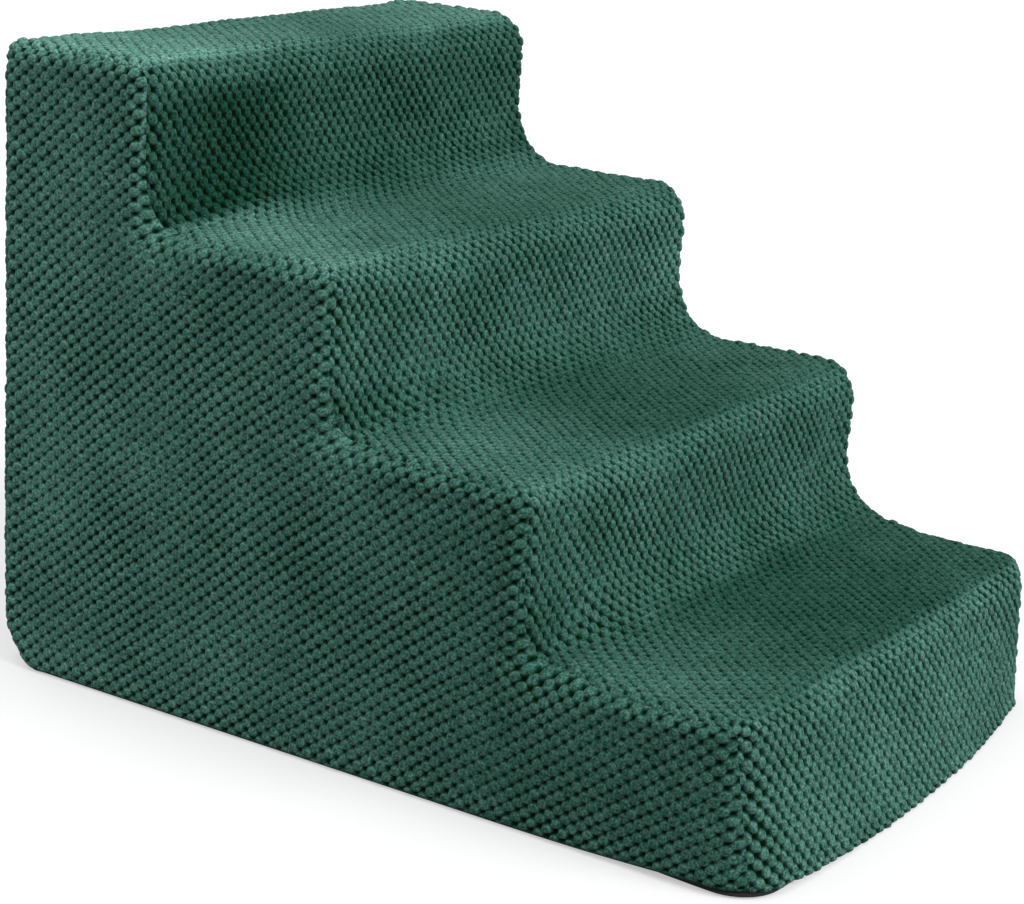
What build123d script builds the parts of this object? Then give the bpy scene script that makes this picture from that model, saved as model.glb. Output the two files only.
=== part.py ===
from build123d import *
import os

os.makedirs("parts", exist_ok=True)

# Four-step foam pet stairs with a removable plush cover. X runs across the
# steps, +Y from the front riser to the back, and +Z up. The origin is on the
# floor, in the middle of the footprint.

# Stairs, measured over the cover. The lowest riser leans back from the floor,
# and the treads share what the lean and the top leave of the depth.
overall_width = 400
overall_depth = 560
overall_height = 400
step_count = 4
top_run = 120
front_lean = 20

# Rounding of the cover, seen from the side
nose_radius = 22
foot_radius = 34
top_back_radius = 20
hem_radius = 5
seam_radius = 6
crown_height = 2

# Rounding of the cover, seen from above. The front bows forward at the floor.
front_corner_radius = 32
back_corner_radius = 14
front_bow = 14
front_trim = 2

# Cover, base fabric and foam
cover_thickness = 7
base_thickness = 2
base_margin = 2
foam_clearance = 0.3
foam_front_clearance = 8
foam_edge_radius = 14
foam_heel_radius = 42

# Course of the zip: up both sides of the back panel and across its foot
zip_side_inset = 26
zip_floor_height = 30
zip_top_drop = 52
zip_turn_radius = 30
channel_width = 13
channel_end_room = 4

# Zip chain: two tapes with a coil along each inner edge
tape_width = 14
tape_thickness = 0.8
tape_gap = 2.4
tape_tail = 20
coil_width = 2.9
coil_height = 2.0
coil_gap = 0.1

# Slider
slider_length = 11
slider_nose_width = 10.4
slider_tail_width = 8.6
slider_plate_thickness = 1.0
slider_corner_radius = 1.2
slider_clearance = 0.2
lane_width = 6.4
lane_nose_width = 8.2
wedge_width = 1.6
wedge_length = 2.4
wedge_setback = 0.6

# Crown, the bail on the slider that holds the pull
crown_width = 2.0
crown_bar_thickness = 0.8
crown_window_length = 2.6
crown_leg_length = 0.9

# Pull
pull_bar_radius = 0.7
pull_clearance = 0.25
pull_length = 25
pull_width = 6.4
pull_thickness = 1.4
pull_eye_width = 3.0
pull_eye_reach = 2.8
pull_corner_radius = 1.5
grip_hole_width = 2.6
grip_hole_length = 9
grip_hole_end = 4

# Stops crimped on the tapes
top_stop_length = 3.0
top_stop_width = 2.9
bottom_stop_length = 4.5
bottom_stop_grip = 2.5
stop_wall = 0.6
stop_gap = 0.3

# Reach of a cutting solid past the piece that it cuts
overrun = 20

# Places that follow from the sizes above
step_rise = overall_height / step_count
step_run = (overall_depth - front_lean - top_run) / (step_count - 1)
side_x = overall_width / 2
front_y = -overall_depth / 2
back_y = overall_depth / 2
panel_inner_x = side_x - cover_thickness
foam_side_x = panel_inner_x - foam_clearance
back_inner_y = back_y - cover_thickness
slider_back_y = back_inner_y - slider_clearance - slider_plate_thickness
foam_back_y = slider_back_y - slider_clearance


def riser_y(step):
    """The straight line behind the bow of one riser's nose, with step 0 in front."""
    return front_y + front_lean + step * step_run + crown_height


def tread_z(step):
    """The straight line under the crown of one tread, with step 0 the lowest."""
    return (step + 1) * step_rise - crown_height


def nearest_corners(outline, places):
    """The corners of an outline being drawn that lie at the given places."""
    return [outline.vertices().sort_by_distance(place)[0] for place in places]


def stair_face(inset):
    """The stairs' outline seen from the side, every face moved in by inset."""
    end_y = back_y - inset
    noses = [(riser_y(step) + inset, tread_z(step) - inset) for step in range(step_count)]
    feet = [(riser_y(step + 1) + inset, tread_z(step) - inset) for step in range(step_count - 1)]
    front_foot = (front_y - front_trim + inset, base_thickness)
    back_foot = (end_y, base_thickness)
    top_back = (end_y, tread_z(step_count - 1) - inset)
    starts = [front_foot] + feet
    ends = feet + [top_back]
    with BuildSketch() as outline:
        with BuildLine():
            for start, nose, end in zip(starts, noses, ends):
                SagittaArc(start, nose, crown_height)
                SagittaArc(nose, end, crown_height)
            Polyline(top_back, back_foot, front_foot)
        make_face()
        fillet(nearest_corners(outline, noses), nose_radius - inset)
        fillet(nearest_corners(outline, feet), foot_radius + inset)
        fillet(nearest_corners(outline, [top_back]), top_back_radius - inset)
    return outline.sketch


def footprint_face(inset):
    """The stairs' outline seen from above, moved in by inset."""
    half_width = side_x - inset
    corner_y = front_y + front_bow + inset
    end_y = back_y - inset
    front_corners = [(-half_width, corner_y), (half_width, corner_y)]
    back_corners = [(half_width, end_y), (-half_width, end_y)]
    with BuildSketch() as outline:
        with BuildLine():
            ThreePointArc(front_corners[0], (0, front_y + inset), front_corners[1])
            Polyline(front_corners[1], *back_corners, front_corners[0])
        make_face()
        fillet(nearest_corners(outline, front_corners), front_corner_radius - inset)
        fillet(nearest_corners(outline, back_corners), back_corner_radius - inset)
    return outline.sketch


def rounding_waste(end, inward):
    """What a rounding takes off the foam's two side corners at one end.

    Inward is the way into the foam from that end, 1 or -1.
    """
    centre_x = foam_side_x - foam_edge_radius
    centre_end = end + inward * foam_edge_radius
    with BuildSketch() as waste:
        with Locations((-foam_side_x, end), (foam_side_x, end)):
            Rectangle(2 * foam_edge_radius, 2 * foam_edge_radius)
        with Locations((-centre_x, centre_end), (centre_x, centre_end)):
            Circle(foam_edge_radius, mode=Mode.SUBTRACT)
    return waste.sketch


def back_plane(y):
    """A plane across the back: X to the right, Z up, facing the front."""
    return Plane.XZ.offset(-y)


def tongue_face(offset, top):
    """The area inside the zip's course, widened by offset, up to a height."""
    half_span = side_x - zip_side_inset + offset
    floor = zip_floor_height - offset
    with BuildSketch() as area:
        with Locations((0, floor)):
            Rectangle(2 * half_span, top - floor, align=(Align.CENTER, Align.MIN))
        lower = area.vertices().group_by(Axis.Y)[0]
        fillet(lower, zip_turn_radius + offset)
    return area.sketch


# Outer body of the cover and the room inside it
with BuildPart() as cover_body:
    with BuildSketch(Plane.YZ.offset(-side_x)):
        add(stair_face(0))
    extrude(amount=overall_width)
    side_edges = faces().filter_by(Axis.X).edges()
    floor_edges = side_edges.filter_by(Axis.Y).group_by(Axis.Z)[0]
    fillet(side_edges - floor_edges, seam_radius)
    with BuildSketch():
        add(footprint_face(0))
    extrude(amount=overall_height, mode=Mode.INTERSECT)
    fillet(faces().sort_by(Axis.Z)[0].edges(), hem_radius)

with BuildPart() as cover_room:
    with BuildSketch(Plane.YZ.offset(-panel_inner_x)):
        add(stair_face(cover_thickness))
    extrude(amount=2 * panel_inner_x)
    with BuildSketch():
        add(footprint_face(cover_thickness))
    extrude(amount=overall_height, mode=Mode.INTERSECT)


# Foam block: one slab for each step, glued in a stack. The cover is loose in
# front of the lowest slab. Each slab is rounded where its tread and riser end.
foam_inset = cover_thickness + foam_clearance
foam_slabs = []
for step in range(step_count):
    slab_nose_y = riser_y(step) + foam_inset
    slab_foot_y = slab_nose_y
    slab_floor = tread_z(step - 1) - foam_inset
    slab_top = tread_z(step) - foam_inset
    bare_depth = riser_y(step + 1) + foam_inset - front_y
    if step == 0:
        slab_nose_y = slab_nose_y + foam_front_clearance
        slab_foot_y = front_y - front_trim + foam_inset + foam_front_clearance
        slab_floor = base_thickness
    if step == step_count - 1:
        bare_depth = overall_depth
    slab_corners = [
        (slab_foot_y, slab_floor),
        (slab_nose_y, slab_top),
        (foam_back_y, slab_top),
        (foam_back_y, slab_floor),
    ]
    with BuildPart() as foam_slab:
        with BuildSketch(Plane.YZ.offset(-side_x)) as slab_outline:
            with BuildLine():
                Polyline(*slab_corners, close=True)
            make_face()
            slab_nose = nearest_corners(slab_outline, [slab_corners[1]])
            fillet(slab_nose, nose_radius - cover_thickness)
            if step == 0:
                slab_heel = nearest_corners(slab_outline, [slab_corners[3]])
                fillet(slab_heel, foam_heel_radius)
            if step == step_count - 1:
                slab_back = nearest_corners(slab_outline, [slab_corners[2]])
                fillet(slab_back, top_back_radius - cover_thickness)
        extrude(amount=overall_width)
        with BuildSketch():
            add(footprint_face(foam_inset))
        extrude(amount=overall_height, mode=Mode.INTERSECT)
        with BuildSketch(back_plane(front_y)):
            add(rounding_waste(slab_top, -1))
        extrude(amount=-bare_depth, mode=Mode.SUBTRACT)
        with BuildSketch():
            add(rounding_waste(foam_back_y, -1))
        extrude(amount=overall_height, mode=Mode.SUBTRACT)
        if step == 0:
            with BuildSketch(back_plane(front_y)):
                add(rounding_waste(slab_floor, 1))
            extrude(amount=-overall_depth, mode=Mode.SUBTRACT)
            with BuildSketch():
                with Locations((0, foam_front_clearance)):
                    add(footprint_face(foam_inset))
            extrude(amount=overall_height, mode=Mode.INTERSECT)
        else:
            with BuildSketch():
                add(rounding_waste(slab_nose_y, 1))
            extrude(amount=overall_height, mode=Mode.SUBTRACT)
    foam_slab.part.label = f"foam_slab_{step + 1}"
    foam_slabs.append(foam_slab.part)


# Non-slip base fabric under the whole footprint
with BuildPart() as base_panel:
    with BuildSketch():
        add(footprint_face(base_margin))
    extrude(amount=base_thickness)
base_panel.part.label = "base_panel"


# Side panels, cut to the outline of the stairs
with BuildPart() as cover_left_panel:
    add(cover_body.part)
    split(bisect_by=Plane.YZ.offset(-panel_inner_x), keep=Keep.BOTTOM)
cover_left_panel.part.label = "cover_left_panel"

with BuildPart() as cover_right_panel:
    add(cover_body.part)
    split(bisect_by=Plane.YZ.offset(panel_inner_x), keep=Keep.TOP)
cover_right_panel.part.label = "cover_right_panel"


# One strip that runs up every riser and over every tread
with BuildPart() as cover_step_panel:
    add(cover_body.part)
    split(bisect_by=Plane.YZ.offset(-panel_inner_x), keep=Keep.TOP)
    split(bisect_by=Plane.YZ.offset(panel_inner_x), keep=Keep.BOTTOM)
    split(bisect_by=back_plane(back_inner_y), keep=Keep.TOP)
    add(cover_room.part, mode=Mode.SUBTRACT)
cover_step_panel.part.label = "cover_step_panel"


# Zip: places along its course
chain_top = overall_height - zip_top_drop
slider_x = side_x - zip_side_inset
slider_nose_z = chain_top + wedge_setback + wedge_length + stop_gap
slider_tail_z = slider_nose_z - slider_length
stop_floor_z = slider_nose_z + stop_gap
channel_top = stop_floor_z + top_stop_length + channel_end_room
tape_top = chain_top + tape_tail
coil_floor_y = back_inner_y + tape_thickness
coil_top_y = coil_floor_y + coil_height

with BuildPart() as zip_tape_inner:
    with BuildSketch(back_plane(back_inner_y)):
        add(tongue_face(-tape_gap / 2, tape_top))
        add(tongue_face(-tape_gap / 2 - tape_width, tape_top), mode=Mode.SUBTRACT)
    extrude(amount=-tape_thickness)
zip_tape_inner.part.label = "zip_tape_inner"

with BuildPart() as zip_tape_outer:
    with BuildSketch(back_plane(back_inner_y)):
        add(tongue_face(tape_gap / 2 + tape_width, tape_top))
        add(tongue_face(tape_gap / 2, tape_top), mode=Mode.SUBTRACT)
    extrude(amount=-tape_thickness)
zip_tape_outer.part.label = "zip_tape_outer"

with BuildPart() as zip_coil_inner:
    with BuildSketch(back_plane(coil_floor_y)):
        add(tongue_face(-coil_gap / 2, chain_top))
        add(tongue_face(-coil_gap / 2 - coil_width, chain_top), mode=Mode.SUBTRACT)
    extrude(amount=-coil_height)
zip_coil_inner.part.label = "zip_coil_inner"

with BuildPart() as zip_coil_outer:
    with BuildSketch(back_plane(coil_floor_y)):
        add(tongue_face(coil_gap / 2 + coil_width, chain_top))
        add(tongue_face(coil_gap / 2, chain_top), mode=Mode.SUBTRACT)
    extrude(amount=-coil_height)
zip_coil_outer.part.label = "zip_coil_outer"


# Back of the cover: a flap inside the zip's course and a border around it,
# sewn to each other above the ends of the zip
with BuildPart() as back_flap_area:
    with BuildSketch(back_plane(back_inner_y - overrun)):
        add(tongue_face(0, overall_height + overrun))
    extrude(amount=-cover_thickness - 2 * overrun)

with BuildPart() as zip_channel:
    with BuildSketch(back_plane(back_inner_y - overrun)):
        add(tongue_face(channel_width / 2, channel_top))
        add(tongue_face(-channel_width / 2, channel_top), mode=Mode.SUBTRACT)
    extrude(amount=-cover_thickness - 2 * overrun)

with BuildPart() as back_sheet:
    add(cover_body.part)
    split(bisect_by=Plane.YZ.offset(-panel_inner_x), keep=Keep.TOP)
    split(bisect_by=Plane.YZ.offset(panel_inner_x), keep=Keep.BOTTOM)
    split(bisect_by=back_plane(back_inner_y), keep=Keep.BOTTOM)
    add(zip_channel.part, mode=Mode.SUBTRACT)
    add(zip_tape_inner.part, mode=Mode.SUBTRACT)
    add(zip_tape_outer.part, mode=Mode.SUBTRACT)

with BuildPart() as cover_back_flap:
    add(back_sheet.part)
    add(back_flap_area.part, mode=Mode.INTERSECT)
cover_back_flap.part.label = "cover_back_flap"

with BuildPart() as cover_back_border:
    add(back_sheet.part)
    add(back_flap_area.part, mode=Mode.SUBTRACT)
cover_back_border.part.label = "cover_back_border"


# Slider: two plates around the chain, joined by a wedge at the nose
slider_front_y = coil_top_y + slider_clearance
slider_face_y = slider_front_y + slider_plate_thickness
flange_floor_y = coil_floor_y + slider_clearance
slider_shape = [
    (-slider_tail_width / 2, slider_tail_z),
    (slider_tail_width / 2, slider_tail_z),
    (slider_nose_width / 2, slider_nose_z),
    (-slider_nose_width / 2, slider_nose_z),
]
lane_shape = [
    (-lane_width / 2, slider_tail_z - overrun),
    (lane_width / 2, slider_tail_z - overrun),
    (lane_width / 2, slider_tail_z),
    (lane_nose_width / 2, slider_nose_z),
    (lane_nose_width / 2, slider_nose_z + overrun),
    (-lane_nose_width / 2, slider_nose_z + overrun),
    (-lane_nose_width / 2, slider_nose_z),
    (-lane_width / 2, slider_tail_z),
]
bail_face_y = slider_face_y + 2 * (pull_clearance + pull_bar_radius)
pull_axis_y = slider_face_y + pull_clearance + pull_bar_radius
pull_axis_z = (slider_nose_z + slider_tail_z) / 2
bail_length = crown_window_length + 2 * crown_leg_length


def slider_plane(y):
    """A plane across the back whose middle is the slider's chain."""
    return Plane(origin=(slider_x, y, 0), x_dir=(1, 0, 0), z_dir=(0, -1, 0))


with BuildPart() as zip_slider:
    with BuildSketch(slider_plane(slider_back_y)):
        Polygon(*slider_shape, align=None)
    extrude(amount=-slider_plate_thickness)
    with BuildSketch(slider_plane(flange_floor_y)):
        Polygon(*slider_shape, align=None)
    extrude(amount=flange_floor_y - slider_face_y)
    fillet(edges().filter_by(Axis.Y), slider_corner_radius)
    with BuildSketch(slider_plane(flange_floor_y)):
        Polygon(*lane_shape, align=None)
    extrude(amount=flange_floor_y - slider_front_y, mode=Mode.SUBTRACT)
    with BuildSketch(slider_plane(slider_back_y)):
        with Locations((0, slider_nose_z - wedge_setback)):
            Rectangle(wedge_width, wedge_length, align=(Align.CENTER, Align.MAX))
    extrude(amount=slider_back_y - slider_face_y)
    with BuildSketch(slider_plane(slider_face_y)):
        with Locations((0, pull_axis_z)):
            Rectangle(crown_width, bail_length)
    extrude(amount=slider_face_y - bail_face_y - crown_bar_thickness)
    with BuildSketch(slider_plane(slider_face_y)):
        with Locations((0, pull_axis_z)):
            Rectangle(crown_width + overrun, crown_window_length)
    extrude(amount=slider_face_y - bail_face_y, mode=Mode.SUBTRACT)
zip_slider.part.label = "zip_slider"


# Pull: a flat tab that hangs from a round bar in the crown's window
pull_tip_z = pull_axis_z - pull_length
with BuildPart() as zip_pull:
    with BuildSketch(slider_plane(pull_axis_y)):
        with Locations((0, pull_tip_z)):
            Rectangle(pull_width, pull_length, align=(Align.CENTER, Align.MIN))
        with Locations((0, pull_axis_z)):
            Rectangle(
                pull_eye_width,
                pull_eye_reach,
                align=(Align.CENTER, Align.MAX),
                mode=Mode.SUBTRACT,
            )
        with Locations((0, pull_tip_z + grip_hole_end)):
            SlotOverall(
                grip_hole_length,
                grip_hole_width,
                rotation=90,
                align=(Align.MIN, Align.CENTER),
                mode=Mode.SUBTRACT,
            )
    extrude(amount=pull_thickness / 2, both=True)
    tip_edges = edges().filter_by(Axis.Y).group_by(Axis.Z)[0]
    fillet(tip_edges, pull_corner_radius)
    with BuildSketch(Plane.YZ.offset(slider_x)):
        with Locations((pull_axis_y, pull_axis_z)):
            Circle(pull_bar_radius)
    extrude(amount=pull_width / 2, both=True)
zip_pull.part.label = "zip_pull"


# Top stops: one clip on each tape, just past the slider's nose
stop_back_y = back_inner_y - stop_wall
with BuildPart() as zip_top_stops:
    with BuildSketch(slider_plane(stop_back_y)):
        for side in (-1, 1):
            stop_middle = side * (coil_gap + top_stop_width) / 2
            with Locations((stop_middle, stop_floor_z)):
                Rectangle(top_stop_width, top_stop_length, align=(Align.CENTER, Align.MIN))
    extrude(amount=stop_back_y - coil_floor_y - stop_wall)
    add(zip_tape_inner.part, mode=Mode.SUBTRACT)
    add(zip_tape_outer.part, mode=Mode.SUBTRACT)
zip_top_stops.part.label = "zip_top_stops"


# Bottom stop: a box crimped over both coils where the zip begins
bottom_stop_width = coil_gap + 2 * (coil_width + stop_wall)
with BuildPart() as zip_bottom_stop:
    with BuildSketch(back_plane(stop_back_y)):
        with Locations((-slider_x, chain_top - bottom_stop_grip)):
            Rectangle(
                bottom_stop_width,
                bottom_stop_length,
                align=(Align.CENTER, Align.MIN),
            )
    extrude(amount=stop_back_y - coil_top_y - stop_wall)
    for piece in (zip_tape_inner, zip_tape_outer, zip_coil_inner, zip_coil_outer):
        add(piece.part, mode=Mode.SUBTRACT)
zip_bottom_stop.part.label = "zip_bottom_stop"


finished = [
    *foam_slabs,
    base_panel.part,
    cover_left_panel.part,
    cover_right_panel.part,
    cover_step_panel.part,
    cover_back_flap.part,
    cover_back_border.part,
    zip_tape_inner.part,
    zip_tape_outer.part,
    zip_coil_inner.part,
    zip_coil_outer.part,
    zip_slider.part,
    zip_pull.part,
    zip_top_stops.part,
    zip_bottom_stop.part,
]
for piece in finished:
    export_step(piece, f"parts/{piece.label}.step")

print("zip slider rests at", slider_x, pull_axis_y, pull_axis_z)
print("pull tip hangs at", pull_tip_z)
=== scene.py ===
import math
import bpy
import numpy as np
from mathutils import Matrix, Vector


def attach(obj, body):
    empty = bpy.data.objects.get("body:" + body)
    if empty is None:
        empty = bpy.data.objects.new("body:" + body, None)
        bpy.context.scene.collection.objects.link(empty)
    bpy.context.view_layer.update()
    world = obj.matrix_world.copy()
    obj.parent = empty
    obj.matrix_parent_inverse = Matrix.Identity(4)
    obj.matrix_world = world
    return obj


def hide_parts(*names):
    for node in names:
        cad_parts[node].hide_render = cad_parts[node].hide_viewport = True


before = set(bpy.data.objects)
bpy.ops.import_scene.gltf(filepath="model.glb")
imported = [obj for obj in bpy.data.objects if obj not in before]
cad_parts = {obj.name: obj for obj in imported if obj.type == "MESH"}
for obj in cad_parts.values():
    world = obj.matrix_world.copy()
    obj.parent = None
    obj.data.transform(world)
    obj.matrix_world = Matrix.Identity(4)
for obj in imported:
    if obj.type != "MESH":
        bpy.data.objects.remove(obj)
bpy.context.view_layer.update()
mm = 0.001
print("frame loaded")

# the stairs' outline in mm, seen from the side: y to the back, z up
stairs = {
    "halfWidth": 200.0,
    "noseY": [-259.0, -119.0, 21.0, 161.0],
    "treadZ": [99.0, 199.0, 299.0, 399.0],
    "frontLean": 27.0,  # the floor edge, in front of the lowest nose
    "frontBow": 17.0,  # and how far back again at the sides
    "bowMiddle": -40.0,  # furthest forward here, across the width
    "backY": 279.0,
    "hemRadius": 2.6,
    "hemZ": 0.8,
    "hemTuck": 8.5,  # runs on under the foam past the hem's middle
    "hemLift": 4.0,  # off the floor at the near front corner
    "hemLiftReach": 75.0, "hemLiftHeight": 45.0,
    "nearCorner": (-186.0, -262.0),
    "hemBand": [(-0.5, 2.6), (-0.7, 1.2), (0.1, 0.45), (6.0, 0.5), (12.0, 0.95), (25.0, 1.5)],  # how far in, how high
    "backSeam": 11.0,  # past the top's back edge
}

noseY, treadZ, halfWidth = stairs["noseY"], stairs["treadZ"], stairs["halfWidth"]

# corner roundings along the outline, at the side seams and in the middle of the width
rounding = {
    "noseSeam": 13.0, "noseMiddle": 23.0,
    "footSeam": 8.0, "footMiddle": 42.0,
    "topBackSeam": 11.0, "topBackMiddle": 18.0,
    "backFootSeam": 35.0, "backFootMiddle": 9.0,
    "farShare": 1.0,  # the middle's share of the far seam's rounding
    "blendWidth": 85.0,  # from the seam to the middle's rounding
}

# how the cover turns over the side edges: radius, and the seam's angle on that turn
sideTurn = {
    "plain": (13.0, 42.0), "plainFar": (7.0, 72.0),
    "firstRiser": (33.0, 44.0), "firstTreadFar": (22.0, 62.0),
    "back": (14.0, 52.0), "heel": (3.0, 60.0),
    "nearFoot": (24.0, 17.0), "farFoot": (12.0, 55.0),
    "footReachTread": 36.0, "footReachRiser": 22.0, "footShift": 6.0,
    # blends along the outline: where each starts before its corner, and its length
    "treadBlend": (60.0, 50.0), "riserBlend": (12.0, 26.0), "backBlend": (12.0, 24.0), "heelBlend": (5.0, 27.0),
    "farSwell": 1.6, "farSwellWidth": 40.0,
}

# bubble plush: a staggered grid of pile balls, sizes in mm
plush = {
    "acrossGrain": 9.14, "alongGrain": 10.9, "sideAlong": 10.5,  # periods of the grid on the strip and the sides
    "cells": 8,  # mesh cells in a period
    "grainTurn": 2.4,  # turn of the side panels' grid, in degrees
    "ballHeight": 2.4, "heightSpread": 0.16, "meanHeight": 0.9,
    "squareness": 2.5,  # 2 gives round balls, more squarer ones
    "flatness": 3.4, "steepness": 0.55,  # flat tops, steep flanks
    "rowJoin": 0.08,  # balls run together along one diagonal
    "treadBall": 0.92, "riserBall": 0.81, "sideBall": 0.856,  # a ball's width as a share of the period
    "ballDrift": 0.035, "driftLength": 90.0, "sizeSpread": 0.028, "sizeLength": 15.0,
    "sway": 0.7, "wander": 0.22, "wanderLength": 12.0,  # the grid itself wanders
    "swell": 0.6, "swellLength": 95.0, "swellReach": 16,  # the cover's own unevenness
    "tuft": 0.13, "tuftLength": 4.2,  # small rough tufts over the balls
    "seamBall": 0.04, "seamFluff": 0.55, "seamFluffAt": 6.0, "seamFluffWidth": 5.5,
    "seamPull": 0.35, "seamPullWidth": 2.0, "farPull": 0.3, "backPull": 0.5,
    "riseFrom": -0.6, "riseReach": 3.2,  # balls grow from the seam over this distance
    "steadyHalf": 158.0, "countedAt": 200.0,  # columns keep their spacing out to here
    "seed": 7,
}


def smooth(value):
    value = np.clip(value, 0.0, 1.0)
    return value * value * (3.0 - 2.0 * value)


def bell(value, centre, width):
    return np.exp(-((value - centre) / width) ** 2)


def unit(vectors):
    return vectors / np.maximum(np.linalg.norm(vectors, axis=-1, keepdims=True), 1e-9)


def waves(seed, a, b, wavelength, count=9):
    # soft random waves, about -1 to 1
    maker = np.random.default_rng(seed)
    total = np.zeros_like(a, dtype=float)
    for index in range(count):
        angle = maker.uniform(0, 2 * math.pi)
        length = wavelength * maker.uniform(0.6, 1.8)
        phase = maker.uniform(0, 2 * math.pi)
        total += np.sin((a * math.cos(angle) + b * math.sin(angle)) * 2 * math.pi / length + phase)
    return total / math.sqrt(count)


def scatter(i, j, seed):
    # a repeatable random number 0 to 1 for a whole-number place
    v = np.sin(i * 127.1 + j * 311.7 + seed * 74.7) * 43758.5453
    return v - np.floor(v)


def pileRelief(weft, warp, ballShare, join, seed):
    # height 0 to 1 of the ball nearest to each place, given in grid periods
    power = plush["squareness"]
    nearest = np.full_like(weft, 9.0)
    height = np.ones_like(weft)
    for shift in (0.0, 0.5):
        i, j = np.round(weft - shift), np.round(warp - shift)
        a, b = weft - shift - i, warp - shift - j
        a, b = a + join * b, b + join * a
        d = (np.abs(a) ** power + np.abs(b) ** power) ** (1 / power) * 2 / ballShare
        tall = 1 + (scatter(i, j, seed + 50 * shift) - 0.5) * 2 * plush["heightSpread"]
        height = np.where(d < nearest, tall, height)
        nearest = np.minimum(nearest, d)
    return np.maximum(0.0, 1.0 - nearest ** plush["flatness"]) ** plush["steepness"] * height


def cornerPath(corners, radii):
    # a path with its inner corners rounded, and marks at the arcs' middles
    pieces, marks = [np.array([corners[0]])], []
    for k in range(1, len(corners) - 1):
        a, b, c = (np.array(corners[k + n], float) for n in (-1, 0, 1))
        u, v = unit(a - b), unit(c - b)
        half = math.acos(max(-1.0, min(1.0, float(u @ v)))) / 2
        tangent = radii[k - 1] / math.tan(half)
        centre = b + unit(u + v) * radii[k - 1] / math.sin(half)
        start, end = b + u * tangent - centre, b + v * tangent - centre
        turn = math.atan2(start[0] * end[1] - start[1] * end[0], start @ end)
        steps = np.linspace(0, turn, 25)
        base = math.atan2(start[1], start[0])
        arc = centre + radii[k - 1] * np.stack([np.cos(base + steps), np.sin(base + steps)], 1)
        marks.append(sum(len(p) for p in pieces) + 12)
        pieces.append(arc)
    pieces.append(np.array([corners[-1]]))
    return np.concatenate(pieces), marks


def bowAt(x):
    # how far back the lowest riser's floor edge is
    return stairs["frontBow"] * ((x - stairs["bowMiddle"]) / halfWidth) ** 2


def pathLength(points):
    return np.concatenate([[0], np.cumsum(np.linalg.norm(np.diff(points, axis=0), axis=1))])


def spaced(path, at):
    # points of a flat path at lengths along it
    return np.stack([np.interp(at, pathLength(path), path[:, c]) for c in (0, 1)], 1)


# corners of the outline, from the front hem up over the steps and down the back
toe, heelY, hemZ = noseY[0] - stairs["frontLean"], stairs["backY"], stairs["hemZ"]
outlineCorners = [(toe + 12, hemZ), (toe, hemZ)]
cornerKinds = ["hem"]
for y, footY, z in zip(noseY, noseY[1:] + [heelY], treadZ):
    outlineCorners += [(y, z), (footY, z)]
    cornerKinds += ["nose", "foot"]
cornerKinds[-1:] = ["topBack", "backFoot"]
outlineCorners += [(heelY, hemZ), (heelY - 60, hemZ)]


def outlineAt(share):
    # share 0 at the side seams, 1 in the middle of the width
    radii = [rounding[kind + "Seam"] * (1 - share) + rounding[kind + "Middle"] * share for kind in cornerKinds[1:]]
    return cornerPath(outlineCorners, [stairs["hemRadius"]] + radii)


# fabric length is the seam outline's length, and the other outlines are matched to it mark by mark
seamPath, seamMarks = outlineAt(0.0)
seamLength = pathLength(seamPath)
markLengths = seamLength[seamMarks]
levels = 9
tables = []
for level in range(levels):
    path, marks = outlineAt(level / (levels - 1))
    lengths = pathLength(path)
    ownMarks = np.concatenate([[0], lengths[marks], [lengths[-1]]])
    matched = np.interp(lengths, ownMarks, np.concatenate([[0], markLengths, [seamLength[-1]]]))
    tables.append((matched, path))


def outlinePoint(length, share):
    # y and z on the outline
    found = np.stack([np.stack([np.interp(length, m, p[:, c]) for m, p in tables], 0) for c in (0, 1)], 0)
    place = np.clip(share, 0, 1) * (levels - 1)
    low = np.minimum(place.astype(int), levels - 2)
    part = place - low
    pick = lambda a, n: np.take_along_axis(a, n[None], 0)[0]
    return [pick(found[c], low) * (1 - part) + pick(found[c], low + 1) * part for c in (0, 1)]


hemMark, noseMarks = markLengths[0], markLengths[1:9:2]
footMarks, topBackMark, backFootMark = markLengths[2:8:2], markLengths[8], markLengths[9]
print("outline marks", np.round(markLengths, 1))


def blend(past, key):
    before, reach = sideTurn[key]
    return smooth((past + before) / reach)


def footWeight(past):
    # 1 where a riser meets a tread, falling to 0 before and after
    past = past + sideTurn["footShift"]
    return bell(past, 0, np.where(past < 0, sideTurn["footReachTread"], sideTurn["footReachRiser"]))


def turnAt(length, side):
    # radius and seam angle of the side edge's turn, side -1 near or 1 far
    plain = sideTurn["plain" if side < 0 else "plainFar"]
    radius = np.full_like(length, plain[0])
    angle = np.full_like(length, plain[1])

    def mix(weight, pair):
        return radius * (1 - weight) + pair[0] * weight, angle * (1 - weight) + pair[1] * weight

    if side > 0:
        radius, angle = mix(1 - blend(length - footMarks[0], "treadBlend"), sideTurn["firstTreadFar"])
    radius, angle = mix(1 - blend(length - noseMarks[0], "riserBlend"), sideTurn["firstRiser"])
    radius, angle = mix(blend(length - topBackMark, "backBlend"), sideTurn["back"])
    radius, angle = mix(blend(length - backFootMark, "heelBlend"), sideTurn["heel"])
    for mark in footMarks:
        radius, angle = mix(footWeight(length - mark), sideTurn["nearFoot" if side < 0 else "farFoot"])
    return radius, np.radians(angle)


def turnOn(across, length):
    # the turn on the side where across is
    return (np.where(across < 0, near, far) for near, far in zip(turnAt(length, -1), turnAt(length, 1)))


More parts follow.
